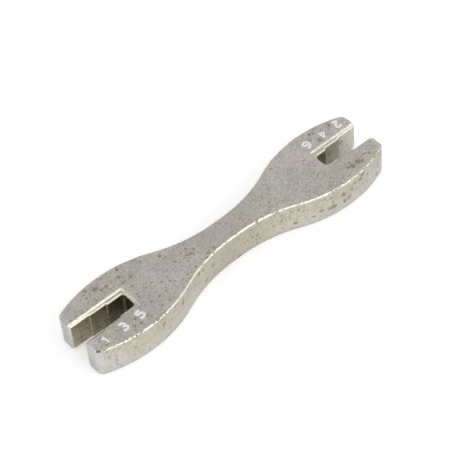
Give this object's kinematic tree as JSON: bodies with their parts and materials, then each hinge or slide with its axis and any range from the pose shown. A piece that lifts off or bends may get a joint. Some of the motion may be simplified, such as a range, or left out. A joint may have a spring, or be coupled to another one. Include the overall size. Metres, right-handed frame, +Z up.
{
  "type": "spoke wrench",
  "caption": "Flat cast spoke wrench with a narrow waist and a stepped open jaw in each rounded head, for turning the nipples of wire-spoked wheels.",
  "frame": {"origin": "under the middle of the wrench, on the face it lies on", "axes": "+X along the wrench towards the head with the even numbers, +Y across the heads, +Z up out of the numbered face"},
  "size_m": [0.1, 0.022, 0.0099],
  "materials": {
    "plated_metal": "satin bright plating over a cast surface, with fine pits and a few brown specks"
  },
  "bodies": {
    "root": {"wrench_body": "plated_metal"}
  },
  "joints": []
}
